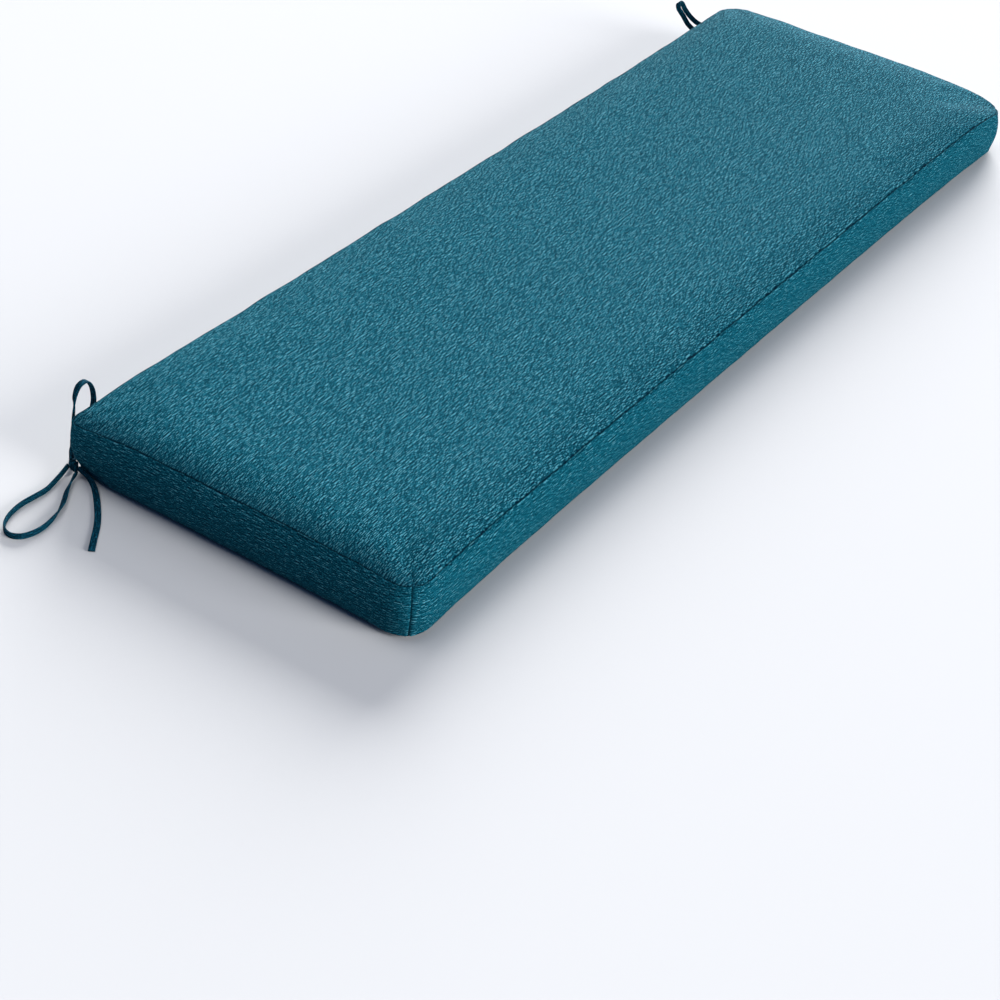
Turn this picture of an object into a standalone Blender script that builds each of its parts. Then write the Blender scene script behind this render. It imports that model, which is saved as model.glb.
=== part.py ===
"""Bench cushion: a boxed, plain-sewn cushion with a strap tied in a bow at each back corner.

Metres, +Z up. The origin is at the middle of the underside. X runs along the cushion's length, -Y is
its front edge and +Y its back edge, which carries the ties. The cushion lies on its underside, and
the straps lie on the same surface, apart from one loop of each bow that stands up behind the back.
"""
import math

import bmesh
import bpy
import numpy as np
from mathutils import Matrix, Vector

# The cover, seam to seam.
LENGTH = 1.143
WIDTH = 0.362
SEAM_HEIGHT = 0.0566
CROWN = 0.0068
SHOULDER = 0.0032
SHOULDER_REACH = 0.006
CROWN_REACH = 0.026
BOXING_BULGE = 0.0045
LONG_SIDE_DRAW = 0.005
SHORT_SIDE_DRAW = 0.002
UNDERSIDE_CURL = 0.0026
CURL_REACH = 0.025
SEAM_TUCK = 0.0012
JOIN_TUCK = 0.0015
SEAM_CREASE = 0.8
JOIN_CREASE = 0.5

# Each corner of the cover, by its end (-1 left, 1 right) and its edge (-1 front, 1 back): how far it
# is rounded in plan, how far the top seam dips there, how much of the bulge is left, and how far the
# tie draws its lower part in.
CORNERS = {
    (-1, -1): (0.026, 0.0030, 1.0, 0.0),
    (-1, 1): (0.014, 0.0055, 0.7, 0.007),
    (1, 1): (0.030, 0.0020, 1.0, 0.0),
    (1, -1): (0.036, 0.0085, 1.0, 0.0),
}
DIP_REACH = 0.055
DRAW_REACH = 0.030

# The cage of the cover: how far its lines stand from each edge, and how many more cross the middle.
EDGE_INSETS = (0.0035, 0.0105, 0.025, 0.052)
MIDDLE_LINES_LONG = 5
MIDDLE_LINES_SHORT = 1
BOXING_LINES = (0.09, 0.28, 0.52, 0.76, 0.93)

# The straps.
STRAP_WIDTH = 0.0058
STRAP_THICKNESS = 0.0016
STRAP_STEP = 0.0055
STRAP_ACROSS = 2
FLOOR_GAP = 0.0004
KNOT_PINCH = 0.32
PINCH_REACH = 0.010
MM = 0.001

# The bow's middle at each end: its name, centre and size, and its turn in plan in degrees.
KNOTS = (
    ("left_tie_knot", (-0.5709, 0.1724, 0.0085), (0.0075, 0.0100, 0.0110), -22),
    ("right_tie_knot", (0.5783, 0.1653, 0.0135), (0.0100, 0.0130, 0.0150), 15),
)

# Route of a strap that lies on the surface, one row for each stop: x, y and the height over lying
# there in millimetres, and how far the strap leans over from standing on its edge, in degrees.
LEFT_SIDE_LOOP = (
    (-572.0, 178.1, 3.6, 10),
    (-577.4, 177.4, 1.8, 8),
    (-586.0, 175.4, 0.8, 4),
    (-596.5, 173.2, 0.2, 2),
    (-607.6, 171.4, 0.0, 0),
    (-621.7, 172.4, 0.0, 0),
    (-634.7, 173.1, 0.0, 0),
    (-647.3, 171.4, 0.0, 0),
    (-658.8, 167.3, 0.0, 0),
    (-667.3, 160.6, 0.0, 0),
    (-670.3, 151.9, 0.0, 0),
    (-666.8, 144.3, 0.0, 0),
    (-658.8, 139.7, 0.0, 0),
    (-647.7, 137.9, 0.0, 0),
    (-636.2, 139.2, 0.0, 4),
    (-624.6, 142.2, 0.0, 20),
    (-614.1, 146.8, 0.0, 42),
    (-604.8, 152.2, 0.0, 50),
    (-596.0, 157.9, 0.0, 42),
    (-588.0, 162.0, 0.0, 28),
    (-581.0, 165.2, 0.3, 16),
    (-576.4, 166.8, 0.8, 10),
    (-572.8, 168.0, 1.2, 8),
)
LEFT_FRONT_TAIL = (
    (-572.4, 166.4, 7.0, 0),
    (-571.4, 162.6, 3.8, -2),
    (-570.9, 158.6, 1.6, -8),
    (-572.4, 153.4, 0.5, -18),
    (-576.0, 146.4, 0.0, -36),
    (-582.4, 138.0, 0.0, -56),
    (-591.2, 128.4, 0.0, -75),
    (-602.6, 117.4, 0.0, -90),
    (-614.1, 108.0, 0.0, -90),
    (-627.6, 98.8, 0.0, -90),
    (-641.1, 89.6, 0.0, -90),
)
RIGHT_SIDE_LOOP = (
    (582.3, 170.8, 6.0, 10),
    (588.0, 174.0, 3.0, 6),
    (597.0, 172.0, 0.8, 0),
    (610.0, 170.5, 0.0, 0),
    (622.0, 168.5, 0.0, 0),
    (632.5, 162.5, 0.0, 0),
    (638.0, 153.5, 0.0, 0),
    (637.0, 143.5, 0.0, 0),
    (630.0, 136.5, 0.0, 0),
    (619.5, 134.5, 0.0, 0),
    (609.0, 138.5, 0.0, 0),
    (599.0, 147.0, 0.6, 0),
    (591.0, 156.0, 2.6, 10),
    (585.6, 162.2, 5.6, 14),
)
RIGHT_FRONT_TAIL = (
    (579.9, 159.2, 4.2, 0),
    (579.0, 153.0, 2.2, 14),
    (581.5, 144.5, 0.6, 42),
    (587.0, 132.0, 0.0, 70),
    (592.5, 118.0, 0.0, 90),
    (596.0, 103.0, 0.0, 90),
    (598.0, 88.0, 0.0, 90),
    (598.5, 72.0, 0.0, 90),
)
LEFT_BACK_TAIL = (
    (-568.4, 177.4, 0.4, -65),
    (-561.6, 184.0, 0.2, -80),
    (-552.0, 188.6, 0.0, -90),
    (-537.0, 191.5, 0.0, -90),
    (-520.0, 191.0, 0.0, -90),
    (-503.0, 189.5, 0.0, -90),
    (-487.0, 191.5, 0.0, -90),
)
RIGHT_BACK_TAIL = (
    (576.2, 172.6, 2.6, 40),
    (571.8, 179.0, 1.0, 62),
    (563.5, 185.6, 0.0, 85),
    (552.0, 189.5, 0.0, 90),
    (537.0, 191.5, 0.0, 90),
    (520.0, 191.0, 0.0, 90),
    (503.0, 189.5, 0.0, 90),
    (487.0, 191.5, 0.0, 90),
)

# Route of a loop that stands up: x, y and z in millimetres, and the lean about the route.
LEFT_STANDING_LOOP = (
    (-569.8, 174.8, 15.8, -82),
    (-567.0, 178.7, 17.2, -82),
    (-563.4, 182.0, 19.0, -82),
    (-559.8, 184.7, 21.8, -80),
    (-557.2, 186.2, 26.4, -75),
    (-555.2, 187.4, 33.5, -70),
    (-553.2, 188.6, 42.0, -65),
    (-551.4, 189.2, 50.5, -55),
    (-550.2, 189.5, 60.5, -20),
    (-544.8, 189.5, 69.3, 0),
    (-535.6, 189.5, 69.7, 0),
    (-529.2, 189.5, 60.7, 0),
    (-527.0, 189.5, 49.2, 0),
    (-527.8, 189.5, 41.0, 0),
    (-531.3, 189.3, 31.0, -25),
    (-539.5, 188.8, 23.0, -60),
    (-549.0, 188.6, 17.0, -88),
    (-556.8, 188.0, 12.8, -94),
    (-563.0, 184.2, 10.8, -94),
    (-567.2, 179.9, 10.6, -94),
    (-569.2, 177.4, 10.6, -94),
)
RIGHT_STANDING_LOOP = (
    (575.6, 171.8, 12.4, 0),
    (567.5, 180.5, 12.6, 0),
    (555.0, 190.0, 15.0, 0),
    (542.0, 197.0, 19.0, 0),
    (531.0, 202.2, 26.0, 0),
    (522.2, 207.4, 35.0, 0),
    (519.4, 213.6, 44.1, 0),
    (519.4, 221.5, 51.8, 0),
    (525.6, 225.6, 55.3, 0),
    (533.5, 225.4, 52.3, 0),
    (540.0, 222.8, 42.6, 0),
    (544.6, 216.2, 33.5, 0),
    (549.8, 207.6, 26.5, 0),
    (559.0, 196.0, 21.5, 0),
    (568.0, 184.5, 19.0, 0),
    (576.0, 172.4, 18.0, 0),
)
UPRIGHT = (0.0, 0.0, 1.0)
BACKWARDS = (0.0, 1.0, 0.0)
BACK_AND_DOWN = (-0.49, 0.62, -0.62)


def srgb(hex_colour):
    """Linear RGBA of an sRGB hex colour."""
    channels = [int(hex_colour[i : i + 2], 16) / 255 for i in (1, 3, 5)]
    return [c / 12.92 if c < 0.04045 else ((c + 0.055) / 1.055) ** 2.4 for c in channels] + [1.0]


def make_material(name, hex_colour, roughness):
    """A Principled material of one colour; cloth has no metallic value."""
    material = bpy.data.materials.new(name)
    material.use_nodes = True
    shader = material.node_tree.nodes["Principled BSDF"]
    shader.inputs["Base Color"].default_value = srgb(hex_colour)
    shader.inputs["Roughness"].default_value = roughness
    shader.inputs["Metallic"].default_value = 0.0
    return material


def add_object(name, bm, collection, material, parent):
    """An object from a bmesh, shaded smooth, with one material, under the empty."""
    mesh = bpy.data.meshes.new(name)
    bmesh.ops.recalc_face_normals(bm, faces=bm.faces)
    bm.to_mesh(mesh)
    bm.free()
    mesh.shade_smooth()
    mesh.materials.append(material)
    obj = bpy.data.objects.new(name, mesh)
    obj.parent = parent
    collection.objects.link(obj)
    return obj


def subdivide(obj, levels):
    """One Subdivision Surface, the same in view and render."""
    modifier = obj.modifiers.new("Soft form", "SUBSURF")
    modifier.levels = levels
    modifier.render_levels = levels


def cage_lines(size, middle_lines):
    """Where the cage is cut along one direction: close lines near both edges, even ones between."""
    inner = size / 2 - EDGE_INSETS[-1]
    near = [size / 2 - inset for inset in EDGE_INSETS]
    even = np.linspace(-inner, inner, middle_lines + 2)[1:-1].tolist()
    return [-line for line in near] + even + near


def nearest_corner(x, y):
    """The row of the corner that a plan point is nearest to."""
    return CORNERS[1 if x > 0 else -1, 1 if y > 0 else -1]


def round_corner(x, y):
    """The place of a plan point once the square corners are round, and the way outward from there.

    In a corner, a point keeps its distance from the quarter disc's middle as a share of the radius,
    and its share of the way round the square becomes the same share of the quarter turn.
    """
    radius = nearest_corner(x, y)[0]
    across = (abs(x) - (LENGTH / 2 - radius)) / radius
    along = (abs(y) - (WIDTH / 2 - radius)) / radius
    if across <= 0 or along <= 0:
        outward = (math.copysign(1, x), 0) if across > along else (0, math.copysign(1, y))
        return Vector((x, y)), Vector(outward)
    angle = math.pi / 4 * (along / across if across >= along else 2 - across / along)
    outward = Vector((math.copysign(math.cos(angle), x), math.copysign(math.sin(angle), y)))
    middle = Vector(
        (
            math.copysign(LENGTH / 2 - radius, x),
            math.copysign(WIDTH / 2 - radius, y),
        )
    )
    return middle + radius * max(across, along) * outward, outward


def crown_rise(inset):
    """Height over the seam at a distance from the edge: a quick shoulder, then a slow crown."""
    quick = SHOULDER * (1 - math.exp(-inset / SHOULDER_REACH))
    return quick + (CROWN - SHOULDER) * (1 - math.exp(-inset / CROWN_REACH))


def cover_point(x, y, z):
    """Takes a point of the flat-sided cage to its place on the stuffed cover."""
    inset_x = LENGTH / 2 - abs(x)
    inset_y = WIDTH / 2 - abs(y)
    inset = min(inset_x, inset_y)
    _, dip, bulge_left, draw = nearest_corner(x, y)
    corner_gap = math.hypot(inset_x, inset_y)
    seam = SEAM_HEIGHT - dip * math.exp(-((corner_gap / DIP_REACH) ** 2))
    closeness = math.exp(-((corner_gap / DRAW_REACH) ** 2))
    up = z / SEAM_HEIGHT
    bulge = 0.0
    if inset > 1e-6:
        if up > 0.5:
            z = seam + crown_rise(inset_x) * crown_rise(inset_y) / CROWN
        else:
            z = UNDERSIDE_CURL * max(0.0, 1 - inset / CURL_REACH) ** 1.5
    else:
        z = UNDERSIDE_CURL + up * (seam - UNDERSIDE_CURL)
        bulge = BOXING_BULGE * math.sin(math.pi * up) * (1 - (1 - bulge_left) * closeness)
        if up in (0.0, 1.0):
            bulge = -SEAM_TUCK
            z -= SEAM_TUCK * (1 if up else -1)
        elif max(inset_x, inset_y) < 1e-6:
            bulge -= JOIN_TUCK
    plan, outward = round_corner(x, y)
    plan += (bulge - draw * closeness * (1 - up) ** 2.5) * outward
    share_x = plan.x / (LENGTH / 2)
    share_y = plan.y / (WIDTH / 2)
    plan.y -= LONG_SIDE_DRAW * share_y * max(0.0, 1 - share_x**4)
    plan.x -= SHORT_SIDE_DRAW * share_x * max(0.0, 1 - share_y**4)
    return plan.x, plan.y, z


def make_cover(collection, material, parent):
    """The filled cover: a cube cut into a cage, each point moved to its place, then subdivided."""
    bm = bmesh.new()
    size = Matrix.Diagonal((LENGTH, WIDTH, SEAM_HEIGHT, 1.0))
    bmesh.ops.create_cube(bm, size=1.0, matrix=Matrix.Translation((0, 0, SEAM_HEIGHT / 2)) @ size)
    cuts = (
        (Vector((1, 0, 0)), cage_lines(LENGTH, MIDDLE_LINES_LONG)),
        (Vector((0, 1, 0)), cage_lines(WIDTH, MIDDLE_LINES_SHORT)),
        (Vector((0, 0, 1)), [share * SEAM_HEIGHT for share in BOXING_LINES]),
    )
    for direction, lines in cuts:
        for line in lines:
            everything = bm.verts[:] + bm.edges[:] + bm.faces[:]
            bmesh.ops.bisect_plane(bm, geom=everything, plane_co=direction * line, plane_no=direction)

    def on_seam(vert):
        at_edge = abs(abs(vert.co.x) - LENGTH / 2) < 1e-6 or abs(abs(vert.co.y) - WIDTH / 2) < 1e-6
        at_level = vert.co.z < 1e-6 or vert.co.z > SEAM_HEIGHT - 1e-6
        return at_edge and at_level

    def on_join(vert):
        return abs(abs(vert.co.x) - LENGTH / 2) < 1e-6 and abs(abs(vert.co.y) - WIDTH / 2) < 1e-6

    def on_flat_rim(vert):
        inset = min(LENGTH / 2 - abs(vert.co.x), WIDTH / 2 - abs(vert.co.y))
        return vert.co.z < 1e-6 and abs(inset - CURL_REACH) < 1e-6

    crease = bm.edges.layers.float.new("crease_edge")
    for edge in bm.edges:
        if all(on_seam(vert) for vert in edge.verts):
            edge[crease] = SEAM_CREASE
        elif all(on_join(vert) for vert in edge.verts):
            edge[crease] = JOIN_CREASE
        elif all(on_flat_rim(vert) for vert in edge.verts):
            edge[crease] = 1.0
    for vert in bm.verts:
        flat_x, flat_y, flat_z = vert.co
        up = round(flat_z / SEAM_HEIGHT, 6)
        vert.co = cover_point(flat_x, flat_y, up * SEAM_HEIGHT)
    cover = add_object("cushion", bm, collection, material, parent)
    subdivide(cover, 1)
    return cover


def smooth_route(stops):
    """Points every STRAP_STEP along a Catmull-Rom curve through the stops, all columns alike."""
    stops = np.array(stops, dtype=float)
    ends = np.vstack([2 * stops[0] - stops[1], stops, 2 * stops[-1] - stops[-2]])
    before, start, finish, after = ends[:-3], ends[1:-2], ends[2:-1], ends[3:]
    pieces = []
    for t in np.linspace(0, 1, 16, endpoint=False):
        pieces.append(
            0.5
            * (
                2 * start
                + (finish - before) * t
                + (2 * before - 5 * start + 4 * finish - after) * t**2
                + (3 * start - before - 3 * finish + after) * t**3
            )
        )
    fine = np.vstack([np.stack(pieces, axis=1).reshape(-1, stops.shape[1]), stops[-1:]])
    travelled = np.r_[0, np.cumsum(np.linalg.norm(np.diff(fine[:, :3], axis=0), axis=1))]
    wanted = np.linspace(0, travelled[-1], int(travelled[-1] / STRAP_STEP) + 1)
    return np.stack([np.interp(wanted, travelled, column) for column in fine.T], axis=1), wanted


def make_strap(name, points, leans, travelled, across, knotted_ends, collection, material, parent):
    """A flat folded strap: an open ribbon along its route, given its thickness by Solidify.

    Its width points along "across", set square to the route and turned about it by the lean. It
    narrows where it goes into the knot.
    """
    along = np.gradient(points, axis=0)
    along /= np.linalg.norm(along, axis=1)[:, None]
    across = np.array(across) - along * (along @ np.array(across))[:, None]
    across /= np.linalg.norm(across, axis=1)[:, None]
    side = np.cross(along, across)
    leans = np.radians(leans)[:, None]
    width = across * np.cos(leans) + side * np.sin(leans)
    pinch = np.exp(-((travelled / PINCH_REACH) ** 2))
    if knotted_ends == 2:
        pinch = np.maximum(pinch, np.exp(-(((travelled[-1] - travelled) / PINCH_REACH) ** 2)))
    half = STRAP_WIDTH / 2 * (1 - KNOT_PINCH * pinch)
    bm = bmesh.new()
    last = len(points) - 1
    bmesh.ops.create_grid(bm, x_segments=last, y_segments=STRAP_ACROSS, size=1.0)
    for vert in bm.verts:
        station = round((vert.co.x + 1) / 2 * last)
        vert.co = Vector(points[station] + width[station] * half[station] * vert.co.y)
    strap = add_object(name, bm, collection, material, parent)
    thicken = strap.modifiers.new("Folded thickness", "SOLIDIFY")
    thicken.thickness = STRAP_THICKNESS
    thicken.offset = 0.0
    return strap


def lying_strap(name, stops, knotted_ends, *place):
    """A strap on the surface: its middle is as high as its leaning edge needs."""
    route = np.array(stops) * (MM, MM, MM, 1)
    route, travelled = smooth_route(route)
    lean = np.radians(route[:, 3])
    own_height = STRAP_WIDTH / 2 * np.abs(np.cos(lean)) + STRAP_THICKNESS / 2 * np.abs(np.sin(lean))
    points = route[:, :3] + np.outer(own_height + FLOOR_GAP, (0, 0, 1))
    return make_strap(name, points, route[:, 3], travelled, UPRIGHT, knotted_ends, *place)


def standing_strap(name, stops, across, *place):
    """A loop that stands up behind the back edge, both ends in the knot."""
    route, travelled = smooth_route(np.array(stops) * (MM, MM, MM, 1))
    return make_strap(name, route[:, :3], route[:, 3], travelled, across, 2, *place)


def make_knot(name, centre, size, turn, collection, material, parent):
    """The bow's middle, a soft lump: a cube under a Subdivision Surface, against the corner."""
    bm = bmesh.new()
    bmesh.ops.create_cube(bm, size=1.0, matrix=Matrix.Diagonal((*size, 1.0)))
    knot = add_object(name, bm, collection, material, parent)
    subdivide(knot, 2)
    knot.location = centre
    knot.rotation_euler = (0.0, 0.0, math.radians(turn))
    return knot


def main():
    for old in list(bpy.data.objects):
        bpy.data.objects.remove(old, do_unlink=True)
    collection = bpy.data.collections.new("Bench cushion")
    bpy.context.scene.collection.children.link(collection)
    middle = bpy.data.objects.new("Underside middle", None)
    collection.objects.link(middle)

    cover_cloth = make_material("Woven polyester cover", "#2b6c7f", 0.9)
    strap_cloth = make_material("Folded polyester strap", "#103a4c", 0.85)

    make_cover(collection, cover_cloth, middle)
    place = (collection, strap_cloth, middle)
    for knot in KNOTS:
        make_knot(*knot, *place)
    standing_strap("left_tie_standing_loop", LEFT_STANDING_LOOP, BACKWARDS, *place)
    lying_strap("left_tie_side_loop", LEFT_SIDE_LOOP, 2, *place)
    lying_strap("left_tie_front_tail", LEFT_FRONT_TAIL, 1, *place)
    lying_strap("left_tie_back_tail", LEFT_BACK_TAIL, 1, *place)
    standing_strap("right_tie_standing_loop", RIGHT_STANDING_LOOP, BACK_AND_DOWN, *place)
    lying_strap("right_tie_side_loop", RIGHT_SIDE_LOOP, 2, *place)
    lying_strap("right_tie_front_tail", RIGHT_FRONT_TAIL, 1, *place)
    lying_strap("right_tie_back_tail", RIGHT_BACK_TAIL, 1, *place)


main()
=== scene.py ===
"""Bench cushion: the cover, its two bows of folded strap, the floor, the lights and the camera."""
import math

import bpy
import numpy as np
from mathutils import Euler, Matrix, Vector


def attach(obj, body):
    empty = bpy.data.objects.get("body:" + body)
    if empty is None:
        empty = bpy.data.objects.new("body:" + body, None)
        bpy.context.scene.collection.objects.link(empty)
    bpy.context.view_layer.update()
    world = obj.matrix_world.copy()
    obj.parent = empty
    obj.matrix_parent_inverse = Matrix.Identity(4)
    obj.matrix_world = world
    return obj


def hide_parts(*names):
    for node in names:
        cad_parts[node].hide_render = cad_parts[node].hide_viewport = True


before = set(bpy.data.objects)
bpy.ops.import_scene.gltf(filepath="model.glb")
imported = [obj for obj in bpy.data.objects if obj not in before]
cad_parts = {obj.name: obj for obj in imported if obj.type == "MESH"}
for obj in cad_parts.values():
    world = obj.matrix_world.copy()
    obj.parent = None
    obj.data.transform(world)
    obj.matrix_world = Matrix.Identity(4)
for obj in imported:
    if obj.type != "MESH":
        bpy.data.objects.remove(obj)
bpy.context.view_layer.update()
MM = 0.001


# ---------------------------------------------------------------------------------------------------
# The cover: a top panel, an underside and a boxing strip of woven polyester, plain-sewn inside out
# without piping, turned and stuffed with one slab of fibre. The long sides are drawn in by the seams,
# the panels roll down to the seam over a hand's breadth, and each corner has an upright join.
# ---------------------------------------------------------------------------------------------------
LENGTH = 1.143
WIDTH = 0.362
SEAM_HEIGHT = 0.0566
# Each corner by its end and its edge: plan radius, the top seam's dip, how much of the bulge is
# left, and how far the tie draws its lower part in.
CORNERS = {
    (-1, -1): (0.026, 0.0030, 1.0, 0.0),
    (-1, 1): (0.014, 0.0055, 0.7, 0.007),
    (1, 1): (0.030, 0.0020, 1.0, 0.0),
    (1, -1): (0.036, 0.0085, 1.0, 0.0),
}
DIP_REACH = 0.055
DRAW_REACH = 0.030
CROWN = 0.0068
# How the crown rises from a side and from an end: the quick share, then both reaches.
SIDE_ROLL = (0.65, 0.0075, 0.026)
END_ROLL = (0.80, 0.0185, 0.060)
BOXING_BULGE = 0.0042
LONG_SIDE_DRAW = 0.005
SHORT_SIDE_DRAW = 0.002
UNDERSIDE_CURL = 0.0026
CURL_REACH = 0.025
# The seam: its trough, the ridge of folded-in cloth beside it, its sag and its puckers.
SEAM_TUCK = 0.0012
SEAM_LINE = 0.0009
RIDGE = 0.0006
RIDGE_FROM_SEAM = 0.0016
RIDGE_LINE = 0.0008
SAG = 0.0007
SAG_SPACING = 0.085
SAG_REACH = 0.025
SAG_FROM_CORNER = 0.060
PUCKER = 0.0004
PUCKER_SPACING = 0.011
PUCKER_REACH = 0.009
# The upright join at each corner.
JOIN_TUCK = 0.0012
JOIN_LINE = 0.0016
# The mesh lines: close at the seams, where the form turns, and wider between.
PANEL_PITCH = 0.0085
EDGE_INSETS = np.array([0.0, 0.8, 1.7, 2.8, 4.3, 6.2, 8.8, 12.0, 16.0, 21.0, 27.0, 34.0]) * MM
BOXING_ROWS = np.array([0.0, 0.6, 1.2, 1.9, 3.0, 5.0, 8.2, 12.4, 17.0, 21.5, 26.0, 30.6]) * MM


def panel_lines(size):
    """Where a panel's mesh lines run: at the edge insets from both ends, then evenly between."""
    near = -size / 2 + EDGE_INSETS
    middle = int(round((size - 2 * EDGE_INSETS[-1]) / PANEL_PITCH))
    even = np.linspace(near[-1], -near[-1], middle + 1)[1:-1]
    return np.concatenate([near, even, -near[::-1]])


def corner_facts(x, y):
    """The four values of the corner that each point is nearest to, by its two signs."""
    facts = np.zeros((4, *x.shape))
    for (end, edge), corner in CORNERS.items():
        here = (np.where(x > 0, 1, -1) == end) & (np.where(y > 0, 1, -1) == edge)
        facts[:, here] = np.array(corner)[:, None]
    return facts


def round_plan(x, y):
    """The plan with its square corners made round, and the way outward.

    In a corner a point keeps its distance from the quarter disc's middle as a share of the radius,
    and its share of the way round the square becomes the same share of the quarter turn.
    """
    radius = corner_facts(x, y)[0]
    across = (np.abs(x) - (LENGTH / 2 - radius)) / radius
    along = (np.abs(y) - (WIDTH / 2 - radius)) / radius
    inside = (across > 0) & (along > 0)
    first = np.where(inside, along, 1) / np.where(inside, across, 1)
    angle = math.pi / 4 * np.where(across >= along, first, 2 - 1 / first)
    straight = across > along
    out_x = np.where(inside, np.cos(angle), straight) * np.sign(x)
    out_y = np.where(inside, np.sin(angle), ~straight) * np.sign(y)
    reach = radius * np.maximum(across, along)
    mid_x = np.sign(x) * (LENGTH / 2 - radius)
    mid_y = np.sign(y) * (WIDTH / 2 - radius)
    return (
        np.where(inside, mid_x + reach * out_x, x),
        np.where(inside, mid_y + reach * out_y, y),
        out_x,
        out_y,
    )


def crown_rise(inset, roll):
    """Share of the crown at a distance from the edge: a quick and a slow exponential, by a share."""
    share, quick, slow = roll
    return 1 - share * np.exp(-inset / quick) - (1 - share) * np.exp(-inset / slow)


def ripple(along, spacing, seed):
    """An uneven ripple between -1 and 1: three sines whose wavelengths don't fit each other."""
    phase = seed * 2.399
    first = np.sin(along / spacing * 2 * math.pi + phase)
    second = np.sin(along / spacing * 2 * math.pi * 0.618 + 1.7 * phase + 1.0)
    third = np.sin(along / spacing * 2 * math.pi * 1.414 + 0.6 * phase + 2.0)
    return (first + second + third) / 3


def cover_points(x, y, level):
    """Takes flat points to the stuffed cover; level is 0 on the underside, 1 on the top panel.

    On a panel the height is the seam's plus the product of both directions' crown. On the boxing the
    plan moves outward by a half sine of its level, and inward near a drawn-in corner by a bell curve.
    The seam sags a little here and there. A seam is a narrow trough in both faces, with a fine ridge
    below it where the boxing's edge is folded in. Between the corners the whole outline is drawn in
    by a fourth power.
    """
    inset_x = LENGTH / 2 - np.abs(x)
    inset_y = WIDTH / 2 - np.abs(y)
    inset = np.minimum(inset_x, inset_y)
    plan_x, plan_y, out_x, out_y = round_plan(x, y)
    round_way = np.where(np.abs(out_x) > np.abs(out_y), plan_y, plan_x)
    _, dip, bulge_left, draw = corner_facts(x, y)
    to_corner = np.hypot(inset_x, inset_y)
    closeness = np.exp(-((to_corner / DRAW_REACH) ** 2))
    seam = SEAM_HEIGHT - dip * np.exp(-((to_corner / DIP_REACH) ** 2))
    sag = SAG * np.exp(-inset / SAG_REACH) * (1 - np.exp(-((to_corner / SAG_FROM_CORNER) ** 2)))
    seam = seam + sag * ripple(round_way, SAG_SPACING, 5)
    on_panel = (level == 0) | (level == 1)
    edge = inset < 1e-7
    top = seam + CROWN * crown_rise(inset_x, END_ROLL) * crown_rise(inset_y, SIDE_ROLL)
    under = UNDERSIDE_CURL * np.maximum(0, 1 - inset / CURL_REACH) ** 1.5
    side = UNDERSIDE_CURL + level * (seam - UNDERSIDE_CURL)
    z = np.where(on_panel & ~edge, np.where(level > 0.5, top, under), side)
    bulge = BOXING_BULGE * np.sin(math.pi * level) * (1 - (1 - bulge_left) * closeness)
    bulge = np.where(edge, bulge, 0) - draw * closeness * (1 - level) ** 2.5
    from_seam = np.where(on_panel, inset, np.minimum(level, 1 - level) * seam)
    trough = np.exp(-((from_seam / SEAM_LINE) ** 2))
    pucker = ripple(round_way, PUCKER_SPACING, 1 + level.round())
    pucker = PUCKER * np.exp(-from_seam / PUCKER_REACH) * pucker
    corner_gap = np.maximum(inset_x, inset_y)
    on_boxing = edge & ~on_panel
    join = JOIN_TUCK * np.exp(-((corner_gap / JOIN_LINE) ** 2)) * on_boxing
    ridge = RIDGE * np.exp(-(((from_seam - RIDGE_FROM_SEAM) / RIDGE_LINE) ** 2)) * on_boxing
    pull = bulge + ridge - SEAM_TUCK * trough * np.where(edge, 1, 0.3) - join + pucker * edge
    plan_x = plan_x + pull * out_x
    plan_y = plan_y + pull * out_y
    share_x = plan_x / (LENGTH / 2)
    share_y = plan_y / (WIDTH / 2)
    z = z + np.where(level > 0.5, -0.7, 0.4) * SEAM_TUCK * trough * on_panel
    z = z + np.where(on_panel & (level > 0.5) & ~edge, pucker, 0)
    drawn_y = plan_y - LONG_SIDE_DRAW * share_y * np.maximum(0, 1 - share_x**4)
    drawn_x = plan_x - SHORT_SIDE_DRAW * share_x * np.maximum(0, 1 - share_y**4)
    return np.stack([drawn_x, drawn_y, np.maximum(z, 0)], axis=-1)


# The panels and the boxing are cut from different places of the cloth: each one's yarns start that
# far along the weave, in metres.
UNDERSIDE_CLOTH = 1.0
BOXING_CLOTH = 3.0


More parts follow.
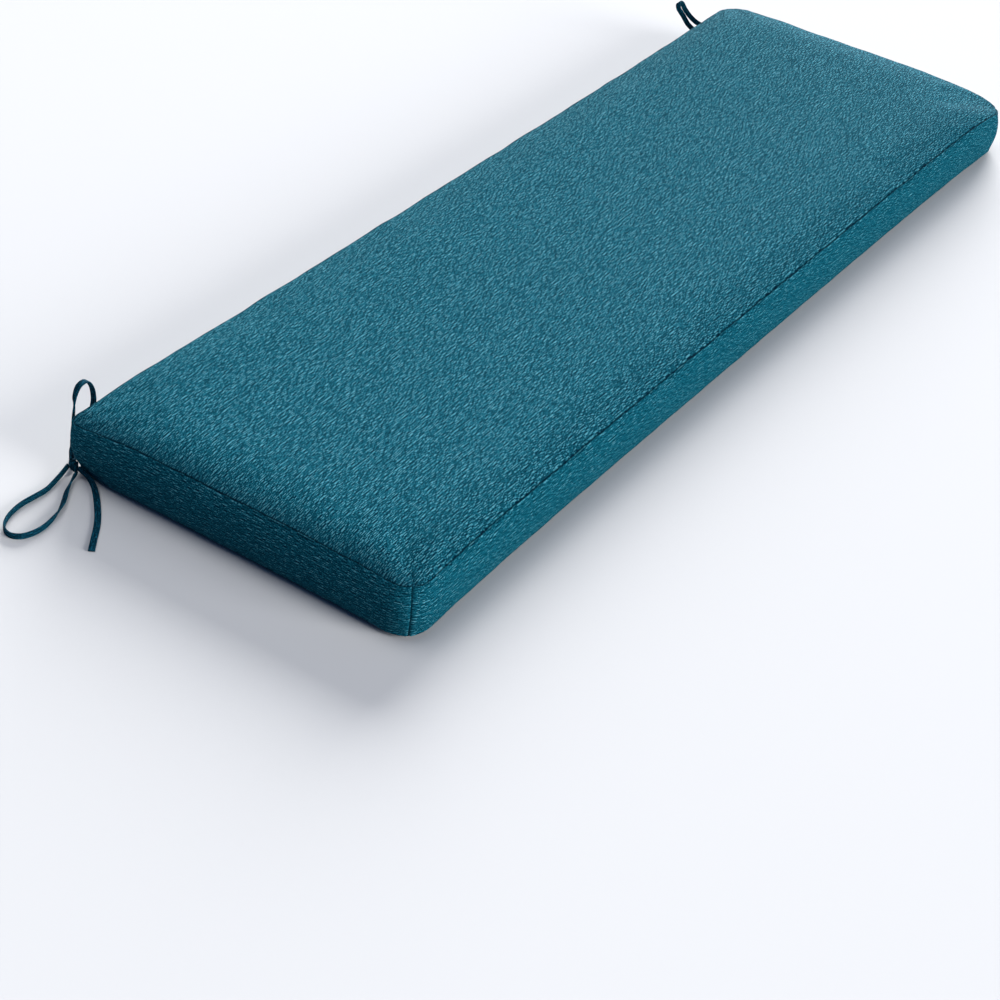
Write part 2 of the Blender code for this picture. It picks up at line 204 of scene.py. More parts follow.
def cover_grid():
    """Vertices, quads, two UV maps and the sewn or resting vertices of the cover.

    Both panels are grids of the same lines, and the boxing joins their rims by rings of points, one
    for each row. The first UV map follows the threads in metres. The second holds the distance
    from the seam, above it positive, and the distance from the nearest upright join.
    """
    lines_x = panel_lines(LENGTH)
    lines_y = panel_lines(WIDTH)
    count_x, count_y = len(lines_x), len(lines_y)
    flat_x, flat_y = np.meshgrid(lines_x, lines_y, indexing="ij")
    top = cover_points(flat_x, flat_y, np.ones_like(flat_x))
    under = cover_points(flat_x, flat_y, np.zeros_like(flat_x))
    front = [(i, 0) for i in range(count_x)]
    far = [(count_x - 1, j) for j in range(1, count_y)]
    back = [(i, count_y - 1) for i in range(count_x - 2, -1, -1)]
    near = [(0, j) for j in range(count_y - 2, 0, -1)]
    rim = np.array(front + far + back + near)
    rim_x, rim_y = flat_x[rim[:, 0], rim[:, 1]], flat_y[rim[:, 0], rim[:, 1]]
    share = BOXING_ROWS / (2 * BOXING_ROWS[-1])
    levels = np.concatenate([share[1:], (1 - share[:-1])[::-1][:-1]])
    rows = np.stack([cover_points(rim_x, rim_y, np.full_like(rim_x, level)) for level in levels])
    points = np.concatenate([top.reshape(-1, 3), under.reshape(-1, 3), rows.reshape(-1, 3)])

    cell = np.arange(count_x * count_y).reshape(count_x, count_y)
    quad = np.stack([cell[:-1, :-1], cell[1:, :-1], cell[1:, 1:], cell[:-1, 1:]], axis=-1)
    quad = quad.reshape(-1, 4)
    offset = count_x * count_y
    rim_cell = cell[rim[:, 0], rim[:, 1]]
    ring = 2 * offset + np.arange(len(levels) * len(rim)).reshape(len(levels), len(rim))
    rings = np.concatenate([(rim_cell + offset)[None], ring, rim_cell[None]])
    following = np.roll(rings, -1, axis=1)
    wall = np.stack([rings[:-1], following[:-1], following[1:], rings[1:]], axis=-1).reshape(-1, 4)
    quads = np.concatenate([quad, quad[:, ::-1] + offset, wall])

    inset = np.minimum(LENGTH / 2 - np.abs(flat_x), WIDTH / 2 - np.abs(flat_y)).reshape(-1)
    under_threads = under.reshape(-1, 3)[:, :2] + (0.0, UNDERSIDE_CLOTH)
    panel_threads = np.concatenate([top.reshape(-1, 3)[:, :2], under_threads])
    panel_edges = np.stack([np.tile(inset, 2), np.full(2 * offset, 1.0)], axis=-1)
    seam_line = top[rim[:, 0], rim[:, 1]]
    steps = np.linalg.norm(np.diff(np.vstack([seam_line, seam_line[:1]]), axis=0), axis=1)
    round_way = np.concatenate([[0], np.cumsum(steps)])
    heights = np.concatenate([[0], levels, [1]]) * SEAM_HEIGHT
    corner_gap = np.maximum(LENGTH / 2 - np.abs(rim_x), WIDTH / 2 - np.abs(rim_y))
    corner_gap = np.append(corner_gap, corner_gap[0])
    wall_u, wall_v = np.meshgrid(round_way, heights + BOXING_CLOTH, indexing="xy")
    gap_u, gap_v = np.meshgrid(corner_gap, SEAM_HEIGHT - heights, indexing="xy")

    def by_corner(first, second):
        """The wall's UV at each quad's corners, from a grid with one column more than the ring."""
        grid = np.stack([first, second], axis=-1)
        corners = [grid[:-1, :-1], grid[:-1, 1:], grid[1:, 1:], grid[1:, :-1]]
        return np.stack(corners, axis=2).reshape(-1, 2)

    on_panels = quads[: 2 * len(quad)]
    threads = np.concatenate([panel_threads[on_panels].reshape(-1, 2), by_corner(wall_u, wall_v)])
    edges = np.concatenate([panel_edges[on_panels].reshape(-1, 2), by_corner(-gap_v, gap_u)])
    sewn = np.zeros(len(points), bool)
    sewn[rim_cell] = True
    sewn[offset : 2 * offset] = True
    return points, quads, threads, edges, sewn


def mesh_object(name, points, faces, uv_maps):
    """A smooth-shaded object from points and faces, with UV maps that go corner by corner."""
    mesh = bpy.data.meshes.new(name)
    mesh.from_pydata(points.tolist(), [], faces)
    for label, coordinates in uv_maps.items():
        layer = mesh.uv_layers.new(name=label)
        layer.data.foreach_set("uv", coordinates.astype(np.float32).ravel())
    mesh.shade_smooth()
    made = bpy.data.objects.new(name, mesh)
    bpy.context.scene.collection.objects.link(made)
    return made


def srgb(hex_colour):
    """Linear RGBA of an sRGB hex colour."""
    channels = [int(hex_colour[i : i + 2], 16) / 255 for i in (1, 3, 5)]
    return [c / 12.92 if c < 0.04045 else ((c + 0.055) / 1.055) ** 2.4 for c in channels] + [1.0]


def new_cloth(name, roughness, specular_level):
    """A dielectric Principled material; gives the material, its node tree and its shader."""
    made = bpy.data.materials.new(name)
    made.use_nodes = True
    principled = made.node_tree.nodes["Principled BSDF"]
    principled.inputs["Roughness"].default_value = roughness
    principled.inputs["IOR"].default_value = 1.5
    principled.inputs["Specular IOR Level"].default_value = specular_level
    return made, made.node_tree, principled


def add_node(kind, inputs=(), **settings):
    """Adds a node with its settings to the tree in hand, and gives its outputs.

    The inputs are values or other nodes' outputs, in the order of the sockets, or by the socket's
    name or number.
    """
    made = tree.nodes.new("ShaderNode" + kind)
    for setting, value in settings.items():
        setattr(made, setting, value)
    for socket, value in inputs.items() if isinstance(inputs, dict) else enumerate(inputs):
        if isinstance(value, bpy.types.NodeSocket):
            tree.links.new(value, made.inputs[socket])
        else:
            made.inputs[socket].default_value = value
    return made.outputs


# Solution-dyed polyester in a plain weave of uneven (slub) yarns, each one light or dark teal for a
# few millimetres at a time. The real yarns are about 0.5 mm apart, too fine to show, so they are
# drawn 0.85 mm wide. Those along the cushion show more than those across it, and the boxing, cut the
# other way of the cloth, shows them all more softly, blended towards an even tone. To the eye it is
# matt, with fine hairline streaks and no gloss.
YARN_WIDTH = 0.85 * MM
SLUB_LENGTH = 6 * MM
CROSS_SLUB_LENGTH = 1.7 * MM
CROSS_SHARE = 0.3
EVEN_TONE = 0.51
BOXING_SOFTNESS = 0.35
# How much of each yarn's tone is its own, on top of what it shares with the other one of its pair.
OWN_SHARE = 0.3


def slub_yarns(along, across, length, width, seed):
    """Brightness of parallel yarns, 0 to 1, with noise along each.

    Yarns lie in pairs, and where one of a pair is light the other is mostly dark, so that the cloth
    as a whole stays even. A yarn's row is the distance across divided by its width, rounded down.
    """
    row = add_node("Math", (across, width), operation="DIVIDE")[0]
    row = add_node("Math", (row,), operation="FLOOR")[0]
    pair = add_node("Math", (row, 2.0), operation="DIVIDE")[0]
    pair = add_node("Math", (pair,), operation="FLOOR")[0]
    second_of_pair = add_node("Math", (row, 2.0), operation="FLOORED_MODULO")[0]
    sign = add_node("Math", (second_of_pair, 2.0, -1.0), operation="MULTIPLY_ADD")[0]
    place = add_node("Math", (along, length), operation="DIVIDE")[0]
    tones = []
    for own_row, spread in ((pair, 7.31), (row, 11.83)):
        line = add_node("Math", (own_row, spread, seed), operation="MULTIPLY_ADD")[0]
        spot = add_node("CombineXYZ", (place, line))[0]
        noise = {"Vector": spot, "Scale": 1.0, "Detail": 2.0, "Roughness": 0.6}
        tone = add_node("TexNoise", noise, noise_dimensions="2D")["Fac"]
        tones.append(add_node("Math", (tone, 0.5), operation="SUBTRACT")[0])
    paired = add_node("Math", (tones[0], sign, 0.5), operation="MULTIPLY_ADD")[0]
    return add_node("Math", (tones[1], OWN_SHARE, paired), operation="MULTIPLY_ADD")[0]


def weave_of(along_yarns, across_yarns, cross_share):
    """Both sets of yarns as one brightness: the second mixed into the first by its share."""
    return add_node("Mix", {0: cross_share, 2: along_yarns, 3: across_yarns}, data_type="FLOAT")[0]


def tone_ramp(brightness, *stops):
    """The yarns' colour by their brightness: sRGB stops on a ramp, the darkest first."""
    colour = add_node("ValToRGB", (brightness,))["Color"]
    ramp = colour.node.color_ramp
    for index, (position, hex_colour) in enumerate((stops[0], stops[-1])):
        ramp.elements[index].position = position
        ramp.elements[index].color = srgb(hex_colour)
    for position, hex_colour in stops[1:-1]:
        ramp.elements.new(position).color = srgb(hex_colour)
    return colour


def line_at(distance, width):
    """1 in the middle of a line, falling evenly to 0 at its width away."""
    away = add_node("Math", (distance,), operation="ABSOLUTE")[0]
    return add_node("MapRange", (away, 0.0, width, 1.0, 0.0))[0]


cover_cloth, tree, shader = new_cloth("Woven slub polyester", 0.88, 0.01)
threads = add_node("UVMap", uv_map="threads")["UV"]
thread_x, thread_y, _ = add_node("SeparateXYZ", (threads,))
along_yarns = slub_yarns(thread_x, thread_y, SLUB_LENGTH, YARN_WIDTH, 0.37)
across_yarns = slub_yarns(thread_y, thread_x, CROSS_SLUB_LENGTH, YARN_WIDTH, 0.71)
edges = add_node("UVMap", uv_map="edges")["UV"]
from_seam, from_join, _ = add_node("SeparateXYZ", (edges,))
on_panel = add_node("Math", (from_seam, 0.0), operation="GREATER_THAN")[0]
softness = (on_panel, -BOXING_SOFTNESS, BOXING_SOFTNESS)
softness = add_node("Math", softness, operation="MULTIPLY_ADD")[0]
weave = weave_of(along_yarns, across_yarns, CROSS_SHARE)
weave = add_node("Mix", {0: softness, 2: weave, 3: EVEN_TONE}, data_type="FLOAT")[0]
yarn_colour = tone_ramp(
    weave,
    (0.40, "#01202e"),
    (0.465, "#02323f"),
    (0.51, "#094554"),
    (0.555, "#1a5e6e"),
    (0.62, "#478795"),
)

# The seams are painted with a dark line of shade, where both edges turn inward. The cloth is also
# painted darker where it rolls over the edge of the filling, as painted shade that reaches further
# than the lights carry it: most at the near end, and at the front by a share that levels off.
SEAM_SHADE_WIDTH = 1.1 * MM
JOIN_SHADE_WIDTH = 1.0 * MM
END_SHADE = 0.64
END_SHADE_WIDTH = 27 * MM
FRONT_SHADE = 0.34
FRONT_SHADE_WIDTH = 45 * MM
FRONT_LEVEL = 0.45
FRONT_EASE = 0.2

seam_line = line_at(from_seam, SEAM_SHADE_WIDTH)
join_line = line_at(from_join, JOIN_SHADE_WIDTH)
seam_shade = add_node("Math", (seam_line, join_line), operation="MAXIMUM")[0]
from_end = add_node("Math", (thread_x, LENGTH / 2), operation="ADD")[0]
from_front = add_node("Math", (thread_y, WIDTH / 2), operation="ADD")[0]
end_line = line_at(from_end, END_SHADE_WIDTH)
end_shade = add_node("Math", (end_line, END_SHADE), operation="MULTIPLY")[0]
front_line = line_at(from_front, FRONT_SHADE_WIDTH)
front_line = add_node("Math", (front_line, FRONT_LEVEL, FRONT_EASE), operation="SMOOTH_MIN")[0]
front_shade = add_node("Math", (front_line, FRONT_SHADE), operation="MULTIPLY")[0]
roll_shade = add_node("Math", (end_shade, front_shade), operation="MAXIMUM")[0]
roll_shade = add_node("Math", (roll_shade, on_panel), operation="MULTIPLY")[0]
# Painted shade: the rolls over the near end and the front are mixed towards dark teal.
painted_roll_shade_colour = add_node("Mix", {0: roll_shade, 6: yarn_colour, 7: srgb("#01202e")}, data_type="RGBA")[2]
# Painted shade: the seam and join lines are mixed towards near black.
painted_seam_shade_colour = add_node("Mix", {0: seam_shade, 6: painted_roll_shade_colour, 7: srgb("#01121c")}, data_type="RGBA")[2]
tree.links.new(painted_seam_shade_colour, shader.inputs["Base Color"])
raised = add_node("Bump", {"Height": weave, "Strength": 0.35, "Distance": 0.5 * MM})["Normal"]
tree.links.new(raised, shader.inputs["Normal"])

points, quads, thread_uv, edge_uv, sewn = cover_grid()
cover = mesh_object("cover", points, quads.tolist(), {"threads": thread_uv, "edges": edge_uv})
cover.data.materials.append(cover_cloth)


# The filling presses the cloth out between the seams, by no more than the last value.
FILLING_PRESSURE = 4.0
SWELL_FRAMES = 20
MOST_SWELL = 0.0022


def swell(target, pinned):
    """Lets the cover swell by cloth simulation, with pressure inside and without gravity.

    Pinned vertices, those of the top seam and the underside, stay. Movement is eased off towards
    the most by a hyperbolic tangent, and the result is kept in the mesh.
    """
    pins = target.vertex_groups.new(name="sewn")
    pins.add(np.flatnonzero(pinned).tolist(), 1.0, "REPLACE")
    cloth = target.modifiers.new("Filling", "CLOTH")
    cloth.settings.use_pressure = True
    cloth.settings.uniform_pressure_force = FILLING_PRESSURE
    cloth.settings.effector_weights.gravity = 0
    cloth.settings.vertex_group_mass = "sewn"
    cloth.settings.tension_stiffness = 40
    cloth.settings.compression_stiffness = 40
    cloth.settings.bending_stiffness = 1.0
    cloth.point_cache.frame_end = SWELL_FRAMES
    for number in range(1, SWELL_FRAMES + 1):
        bpy.context.scene.frame_set(number)
    flat = np.empty(3 * len(target.data.vertices))
    target.data.vertices.foreach_get("co", flat)
    before = flat.reshape(-1, 3).copy()
    grown = target.evaluated_get(bpy.context.evaluated_depsgraph_get()).data
    grown.vertices.foreach_get("co", flat)
    moved = flat.reshape(-1, 3) - before
    size = np.linalg.norm(moved, axis=1, keepdims=True)
    moved *= MOST_SWELL * np.tanh(size / MOST_SWELL) / np.maximum(size, 1e-9)
    target.modifiers.remove(cloth)
    target.vertex_groups.remove(pins)
    bpy.context.scene.frame_set(1)
    target.data.vertices.foreach_set("co", (before + moved).ravel())
    target.data.update()


swell(cover, sewn)
soften = cover.modifiers.new("Cloth between the mesh lines", "SUBSURF")
soften.levels = 1
soften.render_levels = 1
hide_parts("cushion")
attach(cover, "root")


# ---------------------------------------------------------------------------------------------------
# The ties: at each back corner a pair of narrow straps of the same cloth, folded lengthwise and
# stitched, tied in a bow against the corner. One loop stands up behind the back edge, the other lies
# on the surface beside a free end, and the second free end lies behind the cushion.
# ---------------------------------------------------------------------------------------------------
STRAP_WIDTH = 0.0058
STRAP_THICKNESS = 0.0016
STRAP_STEP = 0.002
FLOOR_GAP = 0.0004
# Going into the knot a strap narrows and thickens by these shares.
KNOT_PINCH = 0.32
KNOT_THICKENING = 0.4
PINCH_REACH = 0.010
# The bow's middle at each end: its centre and size, and its turn in plan in degrees.
KNOTS = {
    "left": ((-0.5709, 0.1724, 0.0085), (0.0075, 0.0100, 0.0110), -22),
    "right": ((0.5783, 0.1653, 0.0135), (0.0100, 0.0130, 0.0150), 15),
}

# Routes of the straps that lie on the surface, one row for each stop: x, y and the height over lying
# there in millimetres, and how far the strap leans over from standing on its edge, in degrees.
LEFT_SIDE_LOOP = (
    (-572.0, 178.1, 3.6, 10),
    (-577.4, 177.4, 1.8, 8),
    (-586.0, 175.4, 0.8, 4),
    (-596.5, 173.2, 0.2, 2),
    (-607.6, 171.4, 0.0, 0),
    (-621.7, 172.4, 0.0, 0),
    (-634.7, 173.1, 0.0, 0),
    (-647.3, 171.4, 0.0, 0),
    (-658.8, 167.3, 0.0, 0),
    (-667.3, 160.6, 0.0, 0),
    (-670.3, 151.9, 0.0, 0),
    (-666.8, 144.3, 0.0, 0),
    (-658.8, 139.7, 0.0, 0),
    (-647.7, 137.9, 0.0, 0),
    (-636.2, 139.2, 0.0, 4),
    (-624.6, 142.2, 0.0, 20),
    (-614.1, 146.8, 0.0, 42),
    (-604.8, 152.2, 0.0, 50),
    (-596.0, 157.9, 0.0, 42),
    (-588.0, 162.0, 0.0, 28),
    (-581.0, 165.2, 0.3, 16),
    (-576.4, 166.8, 0.8, 10),
    (-572.8, 168.0, 1.2, 8),
)
LEFT_FRONT_TAIL = (
    (-572.4, 166.4, 7.0, 0),
    (-571.4, 162.6, 3.8, -2),
    (-570.9, 158.6, 1.6, -8),
    (-572.4, 153.4, 0.5, -18),
    (-576.0, 146.4, 0.0, -36),
    (-582.4, 138.0, 0.0, -56),
    (-591.2, 128.4, 0.0, -75),
    (-602.6, 117.4, 0.0, -90),
    (-614.1, 108.0, 0.0, -90),
    (-627.6, 98.8, 0.0, -90),
    (-641.1, 89.6, 0.0, -90),
)
RIGHT_SIDE_LOOP = (
    (582.3, 170.8, 6.0, 10),
    (588.0, 174.0, 3.0, 6),
    (597.0, 172.0, 0.8, 0),
    (610.0, 170.5, 0.0, 0),
    (622.0, 168.5, 0.0, 0),
    (632.5, 162.5, 0.0, 0),
    (638.0, 153.5, 0.0, 0),
    (637.0, 143.5, 0.0, 0),
    (630.0, 136.5, 0.0, 0),
    (619.5, 134.5, 0.0, 0),
    (609.0, 138.5, 0.0, 0),
    (599.0, 147.0, 0.6, 0),
    (591.0, 156.0, 2.6, 10),
    (585.6, 162.2, 5.6, 14),
)
RIGHT_FRONT_TAIL = (
    (579.9, 159.2, 4.2, 0),
    (579.0, 153.0, 2.2, 14),
    (581.5, 144.5, 0.6, 42),
    (587.0, 132.0, 0.0, 70),
    (592.5, 118.0, 0.0, 90),
    (596.0, 103.0, 0.0, 90),
    (598.0, 88.0, 0.0, 90),
    (598.5, 72.0, 0.0, 90),
)
RIGHT_BACK_TAIL = (
    (576.2, 172.6, 2.6, 40),
    (571.8, 179.0, 1.0, 62),
    (563.5, 185.6, 0.0, 85),
    (552.0, 189.5, 0.0, 90),
    (537.0, 191.5, 0.0, 90),
    (520.0, 191.0, 0.0, 90),
    (503.0, 189.5, 0.0, 90),
    (487.0, 191.5, 0.0, 90),
)
LEFT_BACK_TAIL = (
    (-568.4, 177.4, 0.4, -65),
    (-561.6, 184.0, 0.2, -80),
    (-552.0, 188.6, 0.0, -90),
    (-537.0, 191.5, 0.0, -90),
    (-520.0, 191.0, 0.0, -90),
    (-503.0, 189.5, 0.0, -90),
    (-487.0, 191.5, 0.0, -90),
)

# Routes of the loops that stand up: x, y and z in millimetres, and the lean about the route.
LEFT_STANDING_LOOP = (
    (-569.8, 174.8, 15.8, -82),
    (-567.0, 178.7, 17.2, -82),
    (-563.4, 182.0, 19.0, -82),
    (-559.8, 184.7, 21.8, -80),
    (-557.2, 186.2, 26.4, -75),
    (-555.2, 187.4, 33.5, -70),
    (-553.2, 188.6, 42.0, -65),
    (-551.4, 189.2, 50.5, -55),
    (-550.2, 189.5, 60.5, -20),
    (-544.8, 189.5, 69.3, 0),
    (-535.6, 189.5, 69.7, 0),
    (-529.2, 189.5, 60.7, 0),
    (-527.0, 189.5, 49.2, 0),
    (-527.8, 189.5, 41.0, 0),
    (-531.3, 189.3, 31.0, -25),
    (-539.5, 188.8, 23.0, -60),
    (-549.0, 188.6, 17.0, -88),
    (-556.8, 188.0, 12.8, -94),
    (-563.0, 184.2, 10.8, -94),
    (-567.2, 179.9, 10.6, -94),
    (-569.2, 177.4, 10.6, -94),
)
RIGHT_STANDING_LOOP = (
    (575.6, 171.8, 12.4, 0),
    (567.5, 180.5, 12.6, 0),
    (555.0, 190.0, 15.0, 0),
    (542.0, 197.0, 19.0, 0),
    (531.0, 202.2, 26.0, 0),
    (522.2, 207.4, 35.0, 0),
    (519.4, 213.6, 44.1, 0),
    (519.4, 221.5, 51.8, 0),
    (525.6, 225.6, 55.3, 0),
    (533.5, 225.4, 52.3, 0),
    (540.0, 222.8, 42.6, 0),
    (544.6, 216.2, 33.5, 0),
    (549.8, 207.6, 26.5, 0),
    (559.0, 196.0, 21.5, 0),
    (568.0, 184.5, 19.0, 0),
    (576.0, 172.4, 18.0, 0),
)
UPRIGHT = (0.0, 0.0, 1.0)
BACKWARDS = (0.0, 1.0, 0.0)
BACK_AND_DOWN = (-0.49, 0.62, -0.62)


def smooth_route(stops, step):
    """Rows every step along a Catmull-Rom curve through the stops, all columns alike."""
    stops = np.array(stops, dtype=float)
    ends = np.vstack([2 * stops[0] - stops[1], stops, 2 * stops[-1] - stops[-2]])
    before, start, finish, after = ends[:-3], ends[1:-2], ends[2:-1], ends[3:]
    t = np.linspace(0, 1, 16, endpoint=False)[None, :, None]
    before, start, finish, after = (row[:, None, :] for row in (before, start, finish, after))
    curve = 0.5 * (
        2 * start
        + (finish - before) * t
        + (2 * before - 5 * start + 4 * finish - after) * t**2
        + (3 * start - before - 3 * finish + after) * t**3
    )
    fine = np.vstack([curve.reshape(-1, stops.shape[1]), stops[-1:]])
    travelled = np.r_[0, np.cumsum(np.linalg.norm(np.diff(fine[:, :3], axis=0), axis=1))]
    wanted = np.linspace(0, travelled[-1], int(travelled[-1] / step) + 1)
    return np.stack([np.interp(wanted, travelled, column) for column in fine.T], axis=1), wanted


# A strap's section as shares of half its width and half its thickness: both long edges are folds, so
# they are round, and the two rows of stitching sink a shallow line in each face.
UPPER_FACE = np.array(
    [
        (-1.00, 0.30),
        (-0.97, 0.72),
        (-0.86, 1.00),
        (-0.72, 0.80),
        (-0.50, 1.00),
        (0.50, 1.00),
        (0.72, 0.80),
        (0.86, 1.00),
        (0.97, 0.72),
        (1.00, 0.30),
    ]
)
SECTION = np.vstack([UPPER_FACE, UPPER_FACE[::-1] * (1, -1)])
# The hem that closes a free end: its length, how much thicker it is, and how sharp its step is.
HEM_LENGTH = 0.005
HEM_RISE = 0.35
HEM_STEP = 0.0004


def carry_strap(name, centres, leans, travelled, across, knotted_ends):
    """The section carried along the route in rings, each end closed by a strip of quads.

    Its width points along "across", set square to the route and turned about it by the lean. It
    narrows by a bell curve where it goes into the knot, and its hem rises by a logistic step.
    """
    along = np.gradient(centres, axis=0)
    along /= np.linalg.norm(along, axis=1)[:, None]
    across = np.array(across) - along * (along @ np.array(across))[:, None]
    across /= np.linalg.norm(across, axis=1)[:, None]
    side = np.cross(along, across)
    leans = np.radians(leans)[:, None]
    width = across * np.cos(leans) + side * np.sin(leans)
    thickness = np.cross(along, width)
    to_end = travelled[-1] - travelled
    pinch = np.exp(-((travelled / PINCH_REACH) ** 2))
    if knotted_ends == 2:
        pinch = np.maximum(pinch, np.exp(-((to_end / PINCH_REACH) ** 2)))
    half_width = STRAP_WIDTH / 2 * (1 - KNOT_PINCH * pinch)
    half_thick = STRAP_THICKNESS / 2 * (1 + KNOT_THICKENING * pinch)
    if knotted_ends == 1:
        half_thick = half_thick * (1 + HEM_RISE / (1 + np.exp((to_end - HEM_LENGTH) / HEM_STEP)))
    ring = (
        centres[:, None]
        + width[:, None] * (half_width[:, None] * SECTION[None, :, 0])[:, :, None]
        + thickness[:, None] * (half_thick[:, None] * SECTION[None, :, 1])[:, :, None]
    )
    rings, sides = len(centres), len(SECTION)
    index = np.arange(rings * sides).reshape(rings, sides)
    following = np.roll(index, -1, axis=1)
    wall = np.stack([index[:-1], index[1:], following[1:], following[:-1]], axis=-1).reshape(-1, 4)
    strip = np.arange(sides // 2 - 1)
    cap = np.stack([strip, strip + 1, sides - 2 - strip, sides - 1 - strip], axis=-1)
    quads = np.concatenate([wall, cap, cap[:, ::-1] + (rings - 1) * sides])
    steps = np.linalg.norm(np.diff(SECTION * (STRAP_WIDTH / 2, STRAP_THICKNESS / 2), axis=0), axis=1)
    round_way = np.concatenate([[0], np.cumsum(steps)])
    uv = np.stack([np.repeat(travelled, sides), np.tile(round_way, rings)], axis=-1)[quads]
    return mesh_object(name, ring.reshape(-1, 3), quads.tolist(), {"threads": uv.reshape(-1, 2)})


def lying_route(stops):
    """Centres and leans of a strap on the surface, its middle as high as its leaning edge needs."""
    route, travelled = smooth_route(np.array(stops) * (MM, MM, MM, 1), STRAP_STEP)
    lean = np.radians(route[:, 3])
    own_height = STRAP_WIDTH / 2 * np.abs(np.cos(lean)) + STRAP_THICKNESS / 2 * np.abs(np.sin(lean))
    centres = route[:, :3] + np.outer(own_height + FLOOR_GAP, (0, 0, 1))
    return centres, route[:, 3], travelled


def standing_route(stops):
    """Centres and leans of a loop that stands up."""
    route, travelled = smooth_route(np.array(stops) * (MM, MM, MM, 1), STRAP_STEP)
    return route[:, :3], route[:, 3], travelled


# The knot: how far its body reaches as a share of its size, and how high the strap's turns stand.
KNOT_REACH = 0.43
KNOT_RIDGES = 0.09


def knot_object(name, centre, size, turn):
    """The bow's middle: a rounded box whose radius has slanting ridges, the strap's turns.

    The direction of each point comes from two angles, the radius from a superellipsoid of power 3
    times a cosine across the knot, which fades to nothing at its two ends by a fourth power.
    """
    columns, rows = 48, 24
    round_angle = np.linspace(0, 2 * math.pi, columns, endpoint=False)
    up_angle = np.linspace(-math.pi / 2, math.pi / 2, rows + 1)[1:-1]
    up, around = np.meshgrid(up_angle, round_angle, indexing="ij")
    way = np.stack([np.cos(up) * np.cos(around), np.sin(up), np.cos(up) * np.sin(around)], axis=-1)
    way = np.concatenate([[[0.0, -1.0, 0.0]], way.reshape(-1, 3), [[0.0, 1.0, 0.0]]])
    radius = (np.abs(way) ** 3).sum(axis=1) ** (-1 / 3)
    ridges = np.cos(3.0 * math.pi * (way[:, 1] * 0.75 + 0.28 * way[:, 2]))
    fade = np.clip(1 - np.abs(way[:, 1]) ** 4, 0, 1)
    radius = radius * (1 + KNOT_RIDGES * ridges * fade)
    local = way * radius[:, None] * (np.array(size) * KNOT_REACH)
    points = local @ np.array(Matrix.Rotation(math.radians(turn), 3, "Z")).T + centre
    ring = 1 + np.arange((rows - 1) * columns).reshape(rows - 1, columns)
    following = np.roll(ring, -1, axis=1)
    wall = np.stack([ring[:-1], ring[1:], following[1:], following[:-1]], axis=-1).reshape(-1, 4)
    last = len(points) - 1
    bottom = np.stack([np.zeros(columns, int), ring[0], following[0]], axis=-1)
    top = np.stack([np.full(columns, last), following[-1], ring[-1]], axis=-1)
    faces = wall.tolist() + bottom.tolist() + top.tolist()
    corners = np.concatenate([wall.ravel(), bottom.ravel(), top.ravel()])
    uv = np.stack([local[:, 2] + local[:, 0], local[:, 1]], axis=-1)[corners]
    return mesh_object(name, points, faces, {"threads": uv})


# The same polyester as the cover, folded and edge-stitched: matt, and painted darker than the cover
# as painted shade for the loops' inner faces, which lie in shade. The flecks run along the strap, and
# its yarns are drawn 0.8 mm wide for the same reason as the cover's.
STRAP_YARN_WIDTH = 0.8 * MM
STRAP_SLUB_LENGTH = 5 * MM
STRAP_CROSS_SLUB_LENGTH = 2.5 * MM
STRAP_CROSS_SHARE = 0.4

strap_cloth, tree, shader = new_cloth("Folded slub polyester strap", 0.85, 0.02)
threads = add_node("UVMap", uv_map="threads")["UV"]
thread_x, thread_y, _ = add_node("SeparateXYZ", (threads,))
along_yarns = slub_yarns(thread_x, thread_y, STRAP_SLUB_LENGTH, STRAP_YARN_WIDTH, 0.23)
across_yarns = slub_yarns(thread_y, thread_x, STRAP_CROSS_SLUB_LENGTH, STRAP_YARN_WIDTH, 0.59)
strap_weave = weave_of(along_yarns, across_yarns, STRAP_CROSS_SHARE)
# The strap's stops are darker than the cover's: painted shade for its loops' inner faces.
strap_colour_with_painted_shade = tone_ramp(strap_weave, (0.36, "#010f18"), (0.5, "#052a38"), (0.66, "#17566b"))
tree.links.new(strap_colour_with_painted_shade, shader.inputs["Base Color"])
raised = add_node("Bump", {"Height": strap_weave, "Strength": 0.4, "Distance": 0.4 * MM})["Normal"]
tree.links.new(raised, shader.inputs["Normal"])

STRAPS = (
    # name, centres and leans, width direction, how many ends go into the knot
    ("left_tie_standing_loop", standing_route(LEFT_STANDING_LOOP), BACKWARDS, 2),
    ("left_tie_side_loop", lying_route(LEFT_SIDE_LOOP), UPRIGHT, 2),
    ("left_tie_front_tail", lying_route(LEFT_FRONT_TAIL), UPRIGHT, 1),
    ("left_tie_back_tail", lying_route(LEFT_BACK_TAIL), UPRIGHT, 1),
    ("right_tie_standing_loop", standing_route(RIGHT_STANDING_LOOP), BACK_AND_DOWN, 2),
    ("right_tie_side_loop", lying_route(RIGHT_SIDE_LOOP), UPRIGHT, 2),
    ("right_tie_front_tail", lying_route(RIGHT_FRONT_TAIL), UPRIGHT, 1),
    ("right_tie_back_tail", lying_route(RIGHT_BACK_TAIL), UPRIGHT, 1),
)
knots = {}
for side_name, facts in KNOTS.items():
    knot = knot_object(f"{side_name}_bow_knot", *facts)
    knot.data.materials.append(strap_cloth)
    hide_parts(f"{side_name}_tie_knot")
    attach(knot, "root")
    knots[side_name] = knot
for node_name, (centres, leans, travelled), across, knotted_ends in STRAPS:
    bow_name = node_name.replace("tie", "bow")
    strap = carry_strap(bow_name, centres, leans, travelled, across, knotted_ends)
    strap.data.materials.append(strap_cloth)
    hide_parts(node_name)
    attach(strap, "root")
    side_name = node_name.split("_")[0]
    [knots.pop(side_name)] if side_name in knots else []


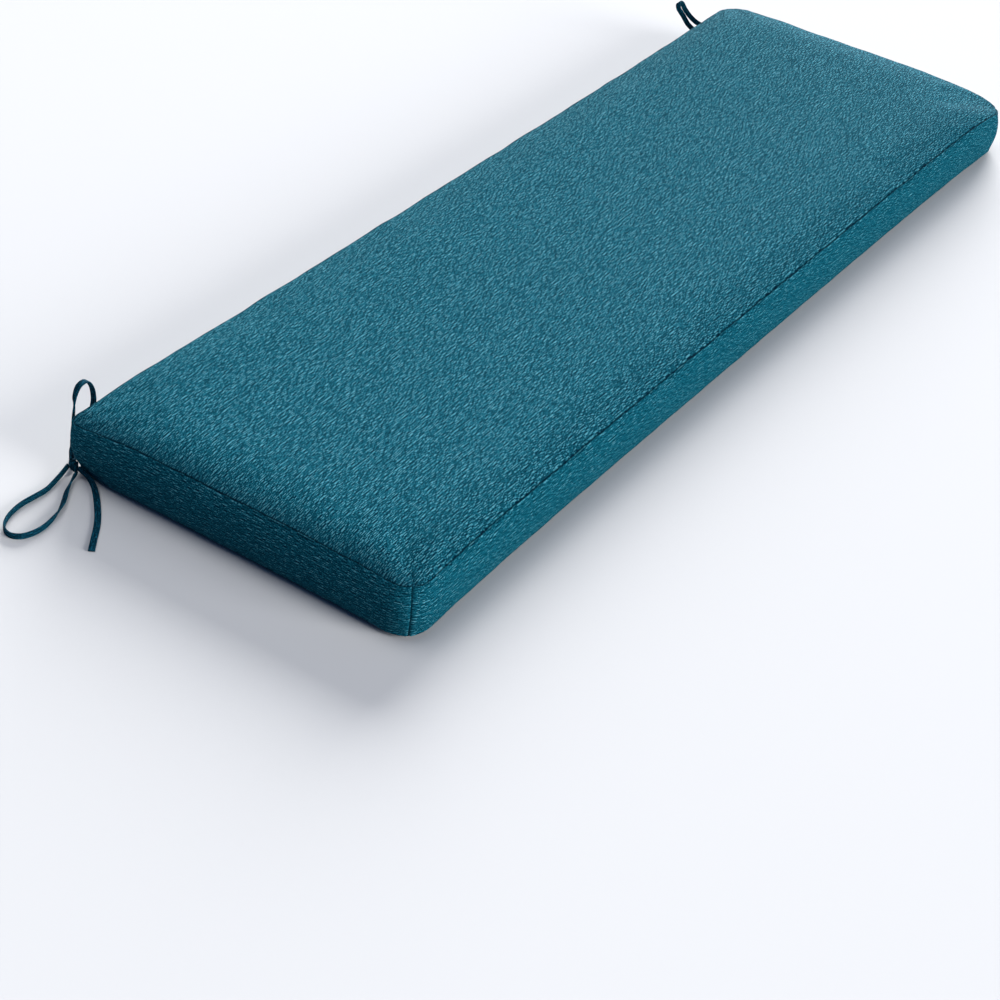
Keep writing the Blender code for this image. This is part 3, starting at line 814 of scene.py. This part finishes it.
# ---------------------------------------------------------------------------------------------------
# The studio: a pale floor that the cushion rests on, and three broad soft lights. The strong one
# comes low from the far end on the right, so that the near end lies in shade, as in the picture; one
# from the front lights the front boxing, and a weak one from overhead fills the rest.
# ---------------------------------------------------------------------------------------------------
# Matt emulsion in a pale grey that the lights bring up to the picture's plain white. It is big enough
# to fill the view, and takes only a soft shadow.
FLOOR_HALF = 6.0

bpy.context.scene.view_settings.view_transform = "Standard"
floor_mesh = bpy.data.meshes.new("floor")
floor_mesh.from_pydata(
    [(x * FLOOR_HALF, y * FLOOR_HALF, 0) for x, y in ((-1, -1), (1, -1), (1, 1), (-1, 1))],
    [],
    [(0, 1, 2, 3)],
)
floor = bpy.data.objects.new("floor", floor_mesh)
bpy.context.scene.collection.objects.link(floor)
floor_paint = bpy.data.materials.new("Matt white studio paint")
floor_paint.use_nodes = True
floor_paint.node_tree.nodes["Principled BSDF"].inputs["Base Color"].default_value = srgb("#bcbcbc")
floor_paint.node_tree.nodes["Principled BSDF"].inputs["Roughness"].default_value = 0.95
floor.data.materials.append(floor_paint)


def soft_sun(name, towards, spread, strength):
    """Even light from one direction, as from a far soft box; spread is its width in degrees."""
    lamp = bpy.data.lights.new(name, "SUN")
    lamp.energy = strength
    lamp.angle = math.radians(spread)
    made = bpy.data.objects.new(name, lamp)
    made.rotation_euler = (-Vector(towards)).to_track_quat("-Z", "Y").to_euler()
    bpy.context.scene.collection.objects.link(made)


soft_sun("overhead", (0.0, 0.3, 1.0), 40, 1.30)
soft_sun("side", (3.0, 1.3, 1.0), 35, 9.5)
soft_sun("front", (0.4, -3.0, 1.0), 30, 4.3)
world = bpy.data.worlds.new("studio")
world.use_nodes = True
world.node_tree.nodes["Background"].inputs["Color"].default_value = srgb("#7fb0ff")
world.node_tree.nodes["Background"].inputs["Strength"].default_value = 0.18
bpy.context.scene.world = world

# The camera stands off the left front corner, 1.17 m above the floor, looks down 36.5 degrees and is
# rolled a little. Its lens is worked out from the focal length in pixels of a 1000-pixel picture.
CAMERA_PLACE = Vector((-1.7242, -0.9208, 1.1688))
CAMERA_AHEAD = Vector((0.6938, 0.4052, -0.5954))
CAMERA_ROLL = math.radians(6.35)
FOCAL_PIXELS = 2278.6

camera_data = bpy.data.cameras.new("camera")
camera_data.sensor_width = 36.0
camera_data.lens = FOCAL_PIXELS * camera_data.sensor_width / 1000
camera_data.clip_end = 50.0
camera = bpy.data.objects.new("camera", camera_data)
camera.location = CAMERA_PLACE
level_turn = CAMERA_AHEAD.to_track_quat("-Z", "Y")
camera.rotation_euler = (level_turn @ Euler((0.0, 0.0, CAMERA_ROLL)).to_quaternion()).to_euler()
bpy.context.scene.collection.objects.link(camera)
bpy.context.scene.camera = camera
